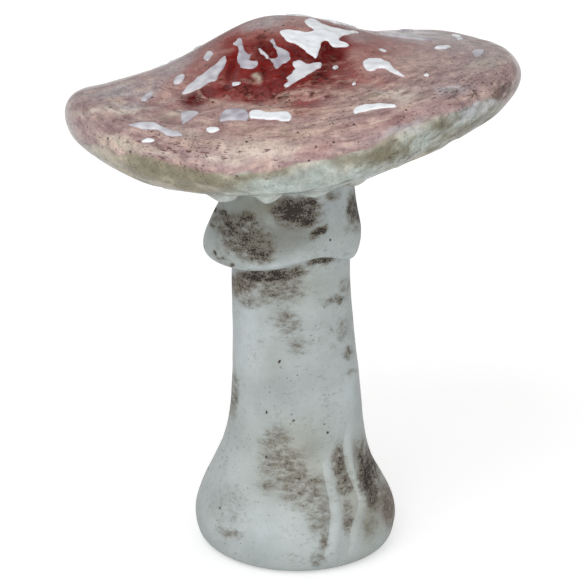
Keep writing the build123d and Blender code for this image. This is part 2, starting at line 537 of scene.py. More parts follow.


# Each daub on the cap: pixel across, pixel down, half width, half height, turn, colour, strength
# The silver and frost daubs on the crown paint sheen of the glaze; the mauve daubs are partly painted sheen
crown_daubs = [
    (258, 82, 46, 24, -5, crimson, 0.86), (300, 74, 40, 20, 0, crimson, 0.90),
    (328, 58, 22, 18, 0, garnet, 0.90), (270, 52, 14, 8, 20, garnet, 0.70),
    (345, 76, 16, 12, 10, wine, 0.70), (372, 54, 20, 8, 12, rose, 0.60),
    # The plum and wine daubs near (190-204, 92-101), here and below, paint shade in the hollow under the long
    # slanting fleck
    (226, 96, 34, 8, -6, wine, 0.75), (196, 101, 17, 6, -14, plum, 0.95),
    (204, 92, 20, 8, -25, wine, 0.90), (216, 92, 11, 6, 0, crimson, 0.70),
    (194, 97, 10, 4, -14, plum, 0.80), (262, 108, 62, 4, 2, blush, 0.60),
    (298, 94, 22, 4, -8, blush, 0.50), (352, 106, 34, 7, -6, blush, 0.60),
    (308, 105, 20, 8, 0, wine, 0.80), (172, 105, 20, 6, -14, dusty, 0.60),
    (172, 115, 12, 5, 0, beige, 0.60), (160, 84, 34, 12, -32, dusty, 0.60),
    (240, 129, 34, 6, 0, dusty, 0.70), (300, 131, 44, 7, -5, blush, 0.70),
    (264, 151, 46, 9, 0, cream, 0.80), (222, 158, 24, 5, 4, cream, 0.80),
    (318, 152, 26, 8, -18, dusty, 0.75), (190, 147, 38, 8, 6, mauve_and_sheen, 0.65),
    (196, 143, 30, 4, 4, blush, 0.45), (380, 122, 40, 8, -12, dusty, 0.60),
    (400, 95, 26, 6, 0, cream, 0.95), (372, 82, 20, 8, 12, rose, 0.50),
    (405, 131, 28, 7, -24, frost_and_sheen, 0.75), (452, 78, 44, 10, -8, mauve_and_sheen, 0.70),
    (484, 64, 18, 5, -4, beige, 0.60), (446, 88, 13, 3, -8, frost_and_sheen, 0.45),
    (470, 97, 26, 3, -16, blush, 0.35), (504, 92, 14, 9, -24, chestnut, 1.00),
    (478, 97, 24, 4, -14, blush, 0.50), (508, 74, 12, 10, 0, dusty, 0.60),
    (410, 33, 48, 4, 8, frost_and_sheen, 0.75), (86, 121, 24, 12, 0, mauve_and_sheen, 0.70),
    (110, 110, 38, 4, -3, cream, 0.85), (116, 143, 22, 7, 18, beige, 0.85),
    (150, 152, 30, 5, 14, beige, 0.50), (275, 25, 12, 6, -10, mauve_and_sheen, 0.60),
    (303, 27, 9, 4, 20, dusty, 0.80), (257, 76, 4, 4, 0, beige, 0.90),
    (176, 66, 30, 9, -36, sheen_silver, 0.60), (262, 22, 22, 6, -16, sheen_silver, 0.55),
    (420, 62, 28, 9, 8, blush, 0.50), (122, 111, 20, 4, -3, cream, 0.60),
    (372, 98, 8, 2, 0, olive, 0.80), (350, 92, 22, 5, 4, blush, 0.40),
    (506, 91, 14, 7, -28, russet, 0.80), (238, 147, 20, 8, 0, cream, 0.60),
    (189, 133, 14, 6, 10, cream, 0.45), (210, 57, 18, 9, -42, dusty, 0.70),
    (358, 36, 14, 6, 12, mauve_and_sheen, 0.70), (119, 91, 22, 7, -12, frost_and_sheen, 0.60),
    (455, 91, 18, 6, -8, frost_and_sheen, 0.70), (296, 50, 11, 5, 30, plum, 0.60),
    (77, 133, 12, 6, 30, mauve_and_sheen, 0.60), (133, 105, 14, 5, -10, frost_and_sheen, 0.55),
    (357, 56, 11, 10, 0, dusty, 0.55), (413, 77, 14, 6, 8, blush, 0.40),
    (268, 136, 84, 20, -2, blush, 0.30), (329, 126, 20, 12, -6, blush, 0.30),
    # These two plum daubs paint shade under the long slanting fleck
    (190, 96, 13, 6, -25, plum, 0.85), (204, 92, 11, 6, -25, plum, 0.50),
    (259, 49, 10, 6, 20, garnet, 0.60), (147, 91, 12, 6, -20, frost_and_sheen, 0.50),
]
dark_blots = [
    (224, 90, 6, 4, 0), (228, 86, 4, 2, 0), (251, 80, 2, 3, 0), (263, 38, 6, 2, 0), (261, 47, 4, 5, 20),
    (272, 96, 2, 3, 0), (271, 88, 2, 2, 0), (247, 99, 3, 2, 0), (280, 98, 2, 2, 0), (313, 83, 4, 3, 0),
    (311, 96, 3, 2, 0), (331, 94, 3, 2, 0), (322, 73, 6, 3, 0), (325, 51, 5, 6, 0), (340, 81, 5, 2, 0),
    # The blots at (192, 95) and (188, 99) paint shade under the long slanting fleck
    (192, 95, 8, 3, -20), (188, 99, 5, 3, 0), (300, 56, 8, 3, 30), (262, 70, 4, 8, 0), (283, 72, 4, 8, 10),
    (232, 70, 4, 12, 14), (337, 62, 4, 5, 0),
]
underside_daubs = [
    (165, 172, 76, 20, 14, olive, 0.97), (215, 184, 46, 14, 6, olive, 0.95),
    (100, 149, 26, 11, 34, beige, 0.85), (218, 168, 11, 5, 0, moss, 0.75),
    (276, 171, 15, 4, -14, moss, 0.65), (250, 168, 14, 5, -3, mauve_and_sheen, 0.40),
    (300, 186, 52, 15, -6, celadon, 0.95), (330, 174, 44, 12, -20, celadon, 0.95),
    (352, 167, 26, 7, -24, beige, 0.55), (382, 152, 20, 8, -26, moss, 0.80),
    (420, 136, 28, 9, -26, celadon, 0.60), (470, 131, 46, 6, -33, moss, 0.85),
    (448, 121, 16, 6, -34, moss, 0.80), (478, 106, 26, 8, -28, frost_and_sheen, 0.95),
    # The white daubs on the hub's lobes are painted light that lifts their shaded faces
    (512, 100, 14, 5, -50, moss, 0.80), (226, 199, 18, 6, 0, painted_light_white, 0.95),
    (270, 199, 28, 6, -4, painted_light_white, 0.95), (318, 194, 34, 6, -12, painted_light_white, 0.80),
    (66, 118, 3, 16, -14, celadon, 0.80), (250, 176, 34, 5, -3, olive, 0.90),
    (497, 106, 10, 4, -30, moss, 0.55), (300, 176, 26, 6, -8, scratch_grey, 0.40),
    (410, 146, 76, 13, -26, olive, 0.20), (395, 131, 28, 5, -13, frost_and_sheen, 0.80),
    (474, 112, 28, 5, -26, frost_and_sheen, 0.85), (388, 155, 28, 8, -12, moss, 0.80),
    (444, 126, 8, 6, 0, moss, 0.85), (481, 122, 34, 5, -33, moss, 0.85),
    (430, 140, 18, 5, -20, celadon, 0.70), (352, 174, 24, 6, -20, celadon, 0.70),
    (78, 137, 11, 5, 36, mauve_and_sheen, 0.70), (280, 171, 14, 4, -14, moss, 0.60),
    (346, 162, 18, 6, -20, olive, 0.75), (455, 134, 16, 6, -32, olive, 0.75),
]

# Where the glaze is crackled: pixel across, pixel down, half width, half height, turn, strength
crackle_daubs = [
    (504, 88, 18, 14, -20, 1.00), (470, 94, 40, 8, -14, 0.50), (285, 94, 62, 8, 0, 0.70),
    (246, 90, 18, 8, 0, 0.80), (322, 76, 18, 9, 0, 0.80), (192, 98, 16, 7, -14, 0.80),
    (262, 44, 14, 9, 0, 0.60), (360, 96, 40, 10, 0, 0.45), (190, 150, 60, 14, 6, 0.35),
    (460, 84, 50, 18, -8, 0.35), (450, 120, 40, 10, -30, 0.50), (150, 165, 70, 16, 14, 0.30),
    (395, 157, 34, 9, -14, 0.55), (478, 122, 36, 7, -32, 0.60), (490, 92, 26, 8, -14, 0.90),
]

# Where the cap is calm, dashed or specked, and its two kinds of underside: the same columns
calm_daubs = [(248, 150, 54, 13, 2, 1.0), (190, 134, 24, 9, 8, 1.0)]
dash_daubs = [(185, 146, 70, 18, 6, 1.0), (460, 84, 70, 26, -10, 0.6), (270, 84, 70, 30, 0, 1.0)]
white_front = [(288, 188, 76, 20, -8, 1.0)]
rough_right = [(430, 142, 100, 20, -27, 1.0)]
speck_daubs = [(180, 160, 90, 24, 12, 1.0)] + rough_right

# Hollows pressed into the dome: the same columns, with the depth last
crown_hollows = [
    (205, 100, 26, 8, -16, 0.0016), (272, 98, 60, 7, 0, 0.0012), (262, 62, 10, 18, 8, 0.0010),
    (228, 74, 8, 16, 24, 0.0010), (340, 62, 10, 14, -10, 0.0010), (380, 84, 24, 6, 16, 0.0008),
    (160, 98, 18, 6, -24, 0.0008),
]

# Where the upper glaze ends on the brim: pixel across, pixel down
glaze_edge = [(62, 118), (81, 143), (152, 158), (205, 172), (267, 172), (313, 163), (360, 149), (422, 123),
              (452, 113), (477, 102), (494, 101), (505, 104), (514, 99), (521, 92)]

# Upper glaze of the cap, from the top of the dome to the brim; its pale mauve at the top of the dome and at
# the brim is partly painted sheen
crown_stops = [(0.0, mauve_and_sheen), (0.08, dusty), (0.15, rose), (0.24, wine), (0.32, crimson), (0.40, wine),
               (0.48, rose), (0.62, dusty), (0.85, mauve_and_sheen), (1.0, mauve_and_sheen)]

# Lower glaze of the cap and glaze of the stem, by a share of noise
underside_stops = [(0.0, olive), (0.4, beige), (0.6, celadon), (1.0, celadon)]
stem_stops = [(0.0, stem_warm), (0.35, stem_white), (0.7, stem_white), (1.0, stem_blue)]

# Each daub of oxide on the stem and skirt, with one of painted shadow under the skirt's lip: pixel across,
# pixel down, half width, half height, turn, strength
skirt_oxide = [
    (246, 238, 30, 25, 14, 0.62), (230, 220, 13, 9, 30, 0.66), (260, 250, 18, 17, 0, 0.72),
    (295, 212, 26, 17, 4, 1.00), (307, 204, 16, 8, 0, 0.90), (245, 217, 13, 8, 0, 0.70),
    (231, 231, 15, 12, 20, 0.74), (282, 206, 18, 7, 0, 0.55), (319, 232, 11, 5, -42, 0.92),
    (357, 207, 9, 24, 0, 0.76), (333, 196, 10, 6, 0, 0.52), (216, 217, 8, 16, 24, 0.40),
    (222, 259, 16, 6, 26, 0.34), (350, 230, 9, 6, 0, 0.36), (216, 209, 4, 3, 30, 0.95),
    (224, 213, 3, 6, -20, 0.95), (212, 224, 3, 3, 0, 0.90), (230, 222, 8, 3, 10, 0.85),
    (216, 252, 3, 2, 30, 0.85), (222, 257, 3, 2, 30, 0.85), (231, 263, 3, 2, 20, 0.85),
]
stem_oxide_and_shadow = [
    (268, 275, 42, 8, -6, 0.88), (242, 284, 18, 14, 0, 0.60), (280, 290, 34, 16, 0, 0.48),
    # The daub at (322, 261) paints the shadow under the skirt's lifted lip, in oxide colours
    (255, 300, 22, 10, 0, 0.40), (322, 261, 17, 6, -12, 0.78), (346, 285, 8, 12, 0, 0.36),
    (335, 300, 16, 6, -20, 0.50), (343, 331, 7, 15, 12, 0.34), (348, 352, 6, 9, 0, 0.50),
    (288, 322, 20, 18, 0, 0.42), (298, 346, 18, 12, 0, 0.38), (233, 395, 7, 30, 0, 0.44),
    (352, 373, 11, 5, 0, 0.34), (276, 438, 20, 16, 0, 0.44), (284, 466, 30, 28, 0, 0.46),
    (272, 483, 15, 14, 0, 0.42), (306, 490, 34, 22, 8, 0.44), (319, 514, 15, 26, 0, 0.44),
    (323, 540, 8, 20, 0, 0.46), (318, 560, 12, 8, 0, 0.44), (341, 462, 8, 22, 0, 0.66),
    (347, 484, 10, 14, 0, 0.60), (368, 476, 12, 38, -10, 0.80), (387, 502, 12, 28, -8, 0.52),
    (370, 526, 9, 14, 0, 0.36), (348, 518, 7, 22, 0, 0.52), (226, 505, 24, 30, 0, 0.22),
    (230, 534, 16, 6, 26, 0.38), (278, 359, 1.5, 1.5, 0, 1.40), (266, 413, 1.2, 1.2, 0, 1.30),
    (294, 421, 1.3, 1.3, 0, 1.30), (266, 459, 1.3, 1.3, 0, 1.40), (297, 481, 1.3, 1.3, 0, 1.40),
]

# Tints under the oxide on the skirt and the stem: the same columns as the cap's daubs
skirt_tints = [
    (262, 208, 34, 14, 0, skirt_olive, 0.75), (288, 236, 36, 18, -8, skirt_grey, 0.90),
    (222, 222, 16, 22, 20, skirt_grey, 0.45), (344, 242, 18, 20, 0, stem_white, 0.60),
    # The last daub paints a highlight along the skirt's lower lip
    (330, 210, 14, 12, 0, stem_blue, 0.50), (292, 264, 72, 4, -8, stem_pale_and_painted_light, 0.80),
]
stem_tints = [
    # The pale daub at (246, 335) paints the upper stem's left side lighter, as light falls on it
    (285, 286, 60, 22, 0, stem_warm, 0.40), (246, 335, 18, 50, 0, stem_pale_and_painted_light, 0.90),
    (290, 392, 34, 30, 0, stem_blue, 0.45), (262, 526, 40, 24, 0, stem_pale_and_painted_light, 0.50),
    (222, 466, 18, 34, 0, stem_pale_and_painted_light, 0.45), (300, 462, 46, 46, 10, stem_warm, 0.70),
    (366, 490, 34, 50, 0, stem_warm, 0.75), (390, 505, 12, 24, 0, rust, 0.60),
    (238, 284, 16, 12, 0, rust, 0.50), (366, 520, 12, 18, 0, moss, 0.45),
    (312, 450, 12, 10, 0, skirt_olive, 0.35), (330, 440, 16, 40, 0, stem_white, 0.40),
    (346, 392, 12, 40, 0, stem_pale_and_painted_light, 0.60),
]

# Pale glaze on the raised runs
run_tints = stem_tints + [(350, 500, 60, 90, 0, stem_pale_and_painted_light, 0.35)]

# Flecks on the crown, mostly painted highlights and reflections of the glossy glaze: share of lavender
# painted reflection, then an outline in pixels
highlight_fleck_outlines = [
    (0.0, [(280, 32), (287, 30), (295, 31), (304, 32.5), (312, 32), (314, 30), (308, 26), (304.5, 21.5),
           (309.5, 19.5), (318.5, 22), (326.5, 26), (337, 29), (347, 31), (359, 33), (351, 34),
           (342, 36.5), (339.5, 40.5), (348, 44.5), (347, 47), (339, 47.5), (333, 47), (329, 43),
           (326, 40.5), (322.5, 42), (320, 47), (318, 53.5), (315.5, 58.5), (312, 56), (308, 53.5),
           (301.5, 48), (295, 44.5), (287.5, 42), (284, 38)]),
    (0.8, [(238, 39), (241, 38.5), (242.5, 43), (243.5, 47), (244.5, 51), (247, 53.5), (250, 55),
           (253, 53.5), (251, 56), (249.5, 60), (253.5, 61), (257.5, 61), (258.5, 64), (256, 67),
           (252, 68.5), (247, 69), (242, 68), (239, 65), (237, 60), (237.5, 55), (239, 51), (238, 47),
           (235.5, 45.5), (233.5, 44), (236, 42)]),
    (1.0, [(272, 39), (274.5, 39.5), (276, 44.5), (278.5, 47.5), (282, 49), (287.5, 51), (290, 55),
           (290, 60), (286, 63), (282, 64), (278.5, 68), (275.5, 69), (273, 65), (270.5, 61.5), (268, 58),
           (272, 58.5), (275.5, 58.5), (277.5, 56), (276.5, 52), (274.5, 48), (272, 44.5),
           (270.5, 41.5)]),
    (0.4, [(292.5, 62.5), (296.5, 60), (300.5, 60.5), (304.5, 63), (309.5, 64.5), (313.5, 63),
           (318.5, 62.5), (322, 64), (320.5, 68), (317, 69.5), (311, 73), (305.5, 76.5), (300.5, 79.5),
           (296, 82), (291.5, 84.5), (288, 87), (285, 87.5), (284, 84.5), (287.5, 82), (286, 78),
           (291, 74), (293, 71.5), (295, 69), (293, 65.5)]),
    (0.6, [(182, 94), (186, 88.5), (191, 83.5), (199, 77), (208, 70.5), (216, 64), (222.5, 57.5),
           (225.5, 56), (226, 61), (223.5, 69), (218.5, 75.5), (216, 81), (210.5, 82), (204, 86),
           (196.5, 90), (188.5, 93.5)]),
    (0.9, [(219.5, 121), (222.5, 112), (229, 109.5), (238, 109), (246, 110), (248.5, 113.5), (247, 120),
           (238, 120.5), (229, 120.5)]),
    (0.0, [(249.5, 113), (253.5, 110.5), (261.5, 110.5), (269, 112.5), (277, 112), (287.5, 112),
           (292, 116), (290, 121), (285, 121.5), (277, 120), (269, 120), (261.5, 119), (253.5, 118.5),
           (249.5, 118.5)]),
    (0.8, [(180.5, 112.5), (188.5, 112), (199, 112.5), (191, 118.5), (185.5, 123), (181.5, 122.5)]),
    (0.5, [(129, 125), (143, 123), (155, 123), (163, 127), (173, 130), (183, 135), (168, 136), (157, 130),
           (143, 129)]),
    (0.0, [(206.5, 129.5), (210.5, 127), (217.5, 127.5), (219.5, 129.5), (214.5, 132.5), (209, 132.5)]),
    (0.0, [(142, 141), (148, 138), (155, 140), (150, 143), (144, 143)]),
    (0.1, [(363, 62.5), (366.5, 59.5), (373, 59), (381, 59.5), (389, 62.5), (394, 68), (400.5, 73),
           (405.5, 77), (399, 75.5), (392.5, 73), (385, 69), (378.5, 68.5), (372, 71), (365.5, 69)]),
    (0.0, [(353, 110.5), (359, 107), (368, 104.5), (381, 104), (394, 104.5), (395.5, 107), (386, 108),
           (373, 109.5), (363, 112), (355, 113.5)]),
    (0.0, [(434, 48), (442, 46), (451, 47), (443, 49)]),
    (0.6, [(473, 51), (484, 50), (480, 56), (475, 56)]),
    (0.5, [(204, 58.5), (207.5, 52.5), (211.5, 51), (213, 53.5), (210.5, 58), (206.5, 61)]),
    (0.6, [(173.5, 83.5), (176, 77.5), (181, 75), (184.5, 75), (183, 81), (178, 84)]),
    (0.7, [(141, 100), (147, 94), (153, 92), (152, 96), (146, 101)]),
    (0.4, [(378, 49), (382.5, 49), (386.5, 51.5), (383.5, 52)]),
    (0.3, [(231.5, 84), (235.5, 82), (241, 83), (238, 85.5), (233.5, 86)]),
    (0.2, [(424, 75), (428, 74), (429, 76), (425, 76)]),
    (0.3, [(456, 38), (461, 37), (463, 39), (459, 40)]),
    (0.5, [(258.5, 48.5), (261, 48.5), (264, 51.5), (266.5, 54.5), (269, 57.5), (267, 59), (263.5, 56),
           (260, 52.5)]),
    (0.3, [(352, 84), (355, 82.5), (357, 84), (354, 85.5)]),
    (0.6, [(331.5, 67), (335, 65.5), (339, 67.5), (336, 69.5), (333, 69)]),
]

# Flecks repeated on the sides that the photograph doesn't show: which outline, turned by how many degrees
highlight_fleck_repeats = [(0, 118), (4, 150), (11, 205), (7, 170), (8, 230), (9, 140), (6, 190), (3, 235), (13, 100),
                 (10, 260)]


# Materials

def new_material(name):
    material = bpy.data.materials.new(name)
    material.use_nodes = True
    return material, material.node_tree, material.node_tree.nodes["Principled BSDF"]


def put(tree, node, inputs):
    """Links or sets the inputs of a node."""
    for key, value in inputs.items():
        if isinstance(value, bpy.types.NodeSocket):
            tree.links.new(value, node.inputs[key])
        else:
            node.inputs[key].default_value = value


def add(tree, kind, inputs, **settings):
    """A node with its settings and inputs."""
    node = tree.nodes.new(kind)
    for key, value in settings.items():
        setattr(node, key, value)
    put(tree, node, inputs)
    return node


def opaque(colour):
    return (*[float(part) for part in colour], 1.0)


def attribute(tree, name, output="Fac"):
    return add(tree, "ShaderNodeAttribute", {}, attribute_name=name).outputs[output]


def place(tree):
    return add(tree, "ShaderNodeTexCoord", {}).outputs["Object"]


def grain(tree, vector, noise_row):
    scale, detail, roughness = noise_row
    settings = {"Vector": vector, "Scale": scale, "Detail": detail, "Roughness": roughness}
    return add(tree, "ShaderNodeTexNoise", settings).outputs["Fac"]


def ease(tree, value, low, high, to_low=0.0, to_high=1.0):
    """A value mapped smoothly from one range to another."""
    inputs = {"Value": value, "From Min": low, "From Max": high, "To Min": to_low, "To Max": to_high}
    return add(tree, "ShaderNodeMapRange", inputs, interpolation_type="SMOOTHSTEP").outputs["Result"]


def sums(tree, operation, first, second):
    return add(tree, "ShaderNodeMath", {0: first, 1: second}, operation=operation).outputs["Value"]


def times(tree, first, second):
    return sums(tree, "MULTIPLY", first, second)


def tinted(tree, colour, tint, share, strength):
    """A colour with a tint laid over it by a share and a strength."""
    inputs = {0: times(tree, share, strength), 6: colour, 7: opaque(tint)}
    return add(tree, "ShaderNodeMix", inputs, data_type="RGBA").outputs[2]


def shaded(tree, colour, value):
    return add(tree, "ShaderNodeHueSaturation", {"Color": colour, "Value": value}).outputs["Color"]


def scaled(tree, vector, factors):
    return add(tree, "ShaderNodeVectorMath", {0: vector, 1: factors}, operation="MULTIPLY").outputs["Vector"]


def spots(tree, vector, scale, size, chance):
    """Small dark spots: some cells of a scatter hold one, of uneven size."""
    cells = add(tree, "ShaderNodeTexVoronoi", {"Vector": vector, "Scale": scale})
    parts = add(tree, "ShaderNodeSeparateColor", {"Color": cells.outputs["Color"]})
    limit = ease(tree, parts.outputs["Red"], 0.0, 1.0, 0.3 * size, size)
    near = sums(tree, "SUBTRACT", limit, cells.outputs["Distance"])
    kept = sums(tree, "LESS_THAN", parts.outputs["Green"], chance)
    return times(tree, ease(tree, near, 0.0, 0.3 * size), kept)


def crackle(tree, vector):
    """Broken, wandering lines along the borders of a scatter of cells."""
    bend = add(tree, "ShaderNodeTexNoise", {"Vector": vector, "Scale": 260.0, "Detail": 3.0})
    shift = scaled(tree, bend.outputs["Color"], (0.009, 0.009, 0.009))
    bent = add(tree, "ShaderNodeVectorMath", {0: vector, 1: shift}, operation="ADD").outputs["Vector"]
    cells = add(tree, "ShaderNodeTexVoronoi", {"Vector": bent, "Scale": 210.0}, feature="DISTANCE_TO_EDGE")
    lines = ease(tree, cells.outputs["Distance"], 0.13, 0.03)
    return times(tree, lines, ease(tree, grain(tree, vector, crack_grain), 0.44, 0.56))


def glazed(tree, shader, colour, roughness, height, strength, distance, **others):
    """Sets a surface's colour, roughness and other values, and gives it fine relief from a height."""
    bump = add(tree, "ShaderNodeBump", {"Height": height, "Strength": strength, "Distance": distance})
    normal = bump.outputs["Normal"]
    put(tree, shader, {"Base Color": colour, "Roughness": roughness, "Normal": normal, **others})
    if shader.inputs["Coat Weight"].default_value > 0:
        tree.links.new(normal, shader.inputs["Coat Normal"])


def cap_glaze(name, gloss):
    """Clear glossy glaze over brushed colour, with streaks, pinholes and short dark dashes."""
    material, tree, shader = new_material(name)
    at = place(tree)
    flow = attribute(tree, "flow", "Vector")
    colour = attribute(tree, "paint", "Color")
    streak = attribute(tree, "streak")
    broad = grain(tree, scaled(tree, flow, blotch_stretch), blotch_grain)
    narrow = grain(tree, scaled(tree, flow, brush_stretch), brush_grain)
    swept = times(tree, ease(tree, grain(tree, flow, sweep_grain), 0.5, 0.68), streak)
    for pattern, low, high, share, tint, strength in (
        (broad, 0.49, 0.38, streak, mulberry, 0.46),
        (broad, 0.53, 0.63, streak, blush, 0.55),
        (narrow, 0.5, 0.66, swept, cream, 0.6),
        (narrow, 0.46, 0.32, streak, plum, 0.26),
    ):
        colour = tinted(tree, colour, tint, times(tree, ease(tree, pattern, low, high), share), strength)
    mottle = grain(tree, at, mottle_grain)
    colour = shaded(tree, colour, ease(tree, mottle, 0.25, 0.75, 0.78, 1.2))
    colour = shaded(tree, colour, ease(tree, grain(tree, at, fine_grain), 0.3, 0.7, 0.88, 1.1))
    fewer = times(tree, sums(tree, "SUBTRACT", attribute(tree, "dash"), 1.0), 0.12)
    marks = sums(tree, "ADD", grain(tree, scaled(tree, flow, dash_stretch), dash_grain), fewer)
    colour = tinted(tree, colour, plum, ease(tree, marks, 0.59, 0.65), 0.75)
    clusters = ease(tree, grain(tree, at, cluster_grain), 0.36, 0.6)
    specks = times(tree, ease(tree, grain(tree, at, speck_grain), 0.635, 0.69), clusters)
    pits = sums(tree, "MAXIMUM", specks, spots(tree, at, *cap_pits))
    pits = times(tree, pits, attribute(tree, "speck"))
    colour = tinted(tree, colour, umber, pits, 0.85)
    colour = tinted(tree, colour, umber, times(tree, crackle(tree, at), attribute(tree, "crackle")), 0.85)
    roughness = ease(tree, mottle, 0.3, 0.8, 0.1, 0.26)
    height = sums(tree, "SUBTRACT", sums(tree, "ADD", mottle, times(tree, narrow, 0.5)), pits)
    coat = {"Specular IOR Level": 0.34 * gloss, "Coat Weight": 0.2 * gloss, "Coat Roughness": 0.06}
    glazed(tree, shader, colour, roughness, height, 0.3, 0.0005, **coat)
    return material


def stem_glaze(name):
    """Satin white glaze with sponged oxide in grains, which also carries a painted shadow under the skirt's
    lip, faint scuffs, pinholes and a few dark pits.
    """
    material, tree, shader = new_material(name)
    at = place(tree)
    cloud = grain(tree, at, cloud_grain)
    colour = shaded(tree, attribute(tree, "paint", "Color"), ease(tree, cloud, 0.25, 0.75, 0.9, 1.08))
    middle = grain(tree, scaled(tree, at, sponge_stretch), sponge_grain)
    fine = grain(tree, at, powder_grain)
    worn = ease(tree, grain(tree, at, worn_grain), 0.46, 0.62)
    scuffs = ease(tree, grain(tree, scaled(tree, at, scuff_stretch), scuff_grain), 0.5, 0.64)
    colour = tinted(tree, colour, scratch_grey, times(tree, scuffs, worn), 0.5)
    patchy = sums(tree, "ADD", times(tree, sums(tree, "SUBTRACT", middle, 0.5), 3.6), 1.0)
    thick = times(tree, attribute(tree, "oxide_and_shadow"), patchy)
    colour = tinted(tree, colour, oxide_and_shadow_wash, ease(tree, thick, 0.08, 0.62), 0.86)
    dense = sums(tree, "ADD", thick, times(tree, sums(tree, "SUBTRACT", fine, 0.5), 1.7))
    colour = tinted(tree, colour, umber, ease(tree, dense, 0.56, 0.92), 0.92)
    tiny = ease(tree, grain(tree, at, pinhole_grain), 0.65, 0.7)
    tiny = times(tree, times(tree, tiny, ease(tree, middle, 0.42, 0.6)), 0.7)
    pits = sums(tree, "MAXIMUM", spots(tree, at, *stem_pits), tiny)
    colour = tinted(tree, colour, umber, pits, 0.9)
    roughness = ease(tree, thick, 0.1, 0.8, 0.38, 0.62)
    height = sums(tree, "ADD", times(tree, middle, 0.5), times(tree, fine, 0.2))
    height = sums(tree, "SUBTRACT", height, times(tree, pits, 1.2))
    glazed(tree, shader, colour, roughness, height, 0.35, 0.0005, **{"Specular IOR Level": 0.3})
    return material


def highlight_fleck_paint(name):
    """Paint of the flecks, mostly painted highlights in white and painted reflections in lavender, with a few
    pinholes.
    """
    material, tree, shader = new_material(name)
    at = place(tree)
    cloud = grain(tree, at, fleck_grain)
    colour = shaded(tree, attribute(tree, "paint", "Color"), ease(tree, cloud, 0.3, 0.7, 0.94, 1.04))
    holes = spots(tree, at, *fleck_pits)
    colour = tinted(tree, colour, chestnut, holes, 0.7)
    roughness = ease(tree, cloud, 0.2, 0.8, 0.12, 0.25)
    glazed(tree, shader, colour, roughness, sums(tree, "SUBTRACT", cloud, holes), 0.2, 0.0002)
    return material


def raw_clay(name):
    """Bare fired clay with grog and sponge marks."""
    material, tree, shader = new_material(name)
    at = place(tree)
    cloud = grain(tree, at, clay_grain)
    colour = shaded(tree, opaque(clay), ease(tree, cloud, 0.3, 0.7, 0.82, 1.1))
    grog = spots(tree, at, *clay_grog)
    colour = tinted(tree, colour, chestnut, grog, 0.5)
    roughness = ease(tree, cloud, 0.2, 0.8, 0.75, 0.95)
    glazed(tree, shader, colour, roughness, sums(tree, "SUBTRACT", cloud, grog), 0.4, 0.0004)
    return material


# Cap shells

crown_tree = search_tree("cap_crown")
underside_tree = search_tree("cap_underside")
cap_angles = around(cast_columns)
partings = [parting_elevation(angle) for angle in cap_angles]
parting_spots = [cast(crown_tree, parting_centre, a, p, True) for a, p in zip(cap_angles, partings)]
parting_table = np.array([(spot.x, spot.y, 1.0) for spot in parting_spots])
parting_levels = np.array([spot.z for spot in parting_spots])
*parting_slope, parting_level = np.linalg.lstsq(parting_table, parting_levels)[0]
straight_up = math.pi / 2
crown_top = np.array(max(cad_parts["cap_crown"].data.vertices, key=lambda vertex: vertex.co.z).co[:2])
recess_radius = underside_tree.ray_cast(Vector((0, 0, seat_height - 0.003)), Vector((1, 0, 0)), far)[3]


def crown_dents(points):
    """How deep the hollows on the dome are at each point."""
    pixels = to_pixels(points)
    return sum(depth * daub(pixels, *oval) for *oval, depth in crown_hollows)


def underside_dents(points):
    """Uneven hollows pressed in under the brim by fingers, fewer in the smooth white glaze in front."""
    smooth = strongest(to_pixels(points), white_front)
    return press_depth * patches(points, *press_patches) * (1 - 0.8 * smooth)


def cap_lines(tree, start_offset, end, count, rows, inward, bend):
    """Rings of one shell of the cap, met by rays from the middle of the parting plane."""
    lines = []
    for angle, parting in zip(cap_angles, partings):
        met = sweep(tree, parting_centre, angle, parting + start_offset, end, count, inward, bend)
        lines.append(resample(met, rows))
    return turned_rings(lines, cap_columns)


def hollow_lines(tree, way):
    """Rings of the hollow inside one shell, upwards or downwards."""
    end = way * (straight_up - 10 * pole_hair)
    return cap_lines(tree, way * hollow_turn, end, hollow_casts, hollow_rows, False, hollow_ease)


def make_crown():
    outer = cap_lines(crown_tree, 0.0, straight_up - pole_hair, crown_casts, crown_rows, True, crown_ease)
    outer = dented(soften(outer, 3), parting_centre, lump_depth, ("first",), crown_dents)
    inner = hollow_lines(crown_tree, 1)
    poles = [outer[-1].mean(axis=0), inner[-1].mean(axis=0)]
    rows = np.concatenate([outer[::-1], inner])
    return ring_object("cap_crown_shell", rows, poles), grid_reach(rows)


def underside_line(angle, parting):
    """The outer line of the underside from the parting plane to the edge of the recess."""
    line = [cast(crown_tree, parting_centre, angle, parting, True)]
    start = parting - 2 * parting_hair
    turn = (start, underside_turn, underside_casts, True, hollow_ease)
    for spot in sweep(underside_tree, parting_centre, angle, *turn):
        if math.hypot(spot.x, spot.y) < recess_radius + recess_hair:
            break
        line.append(spot)
    lip = Vector((recess_radius * math.cos(angle), recess_radius * math.sin(angle), line[-1].z))
    return line + [lip]


def make_underside():
    lines = [resample(underside_line(a, p), underside_rows) for a, p in zip(cap_angles, partings)]
    outer = soften(turned_rings(lines, cap_columns), 2)
    outer = dented(outer, parting_centre, lump_depth, ("first", "last"), underside_dents)
    lip = outer[-1]
    rise = (np.array([0, 0, seat_height]) - lip) * np.array([0, 0, 1.0])
    wall = [lip + rise * share for share in (0.35, 0.7, 1.0)]
    seat = [wall[-1] * np.array([share, share, 1.0]) for share in (0.93, 0.6, 0.25)]
    inner = hollow_lines(underside_tree, -1)
    poles = [[0.0, 0.0, seat_height], inner[-1].mean(axis=0)]
    rows = np.concatenate([np.array(seat[::-1]), np.array(wall[::-1]), outer[::-1], inner])
    return ring_object("cap_underside_shell", rows, poles), grid_reach(rows)


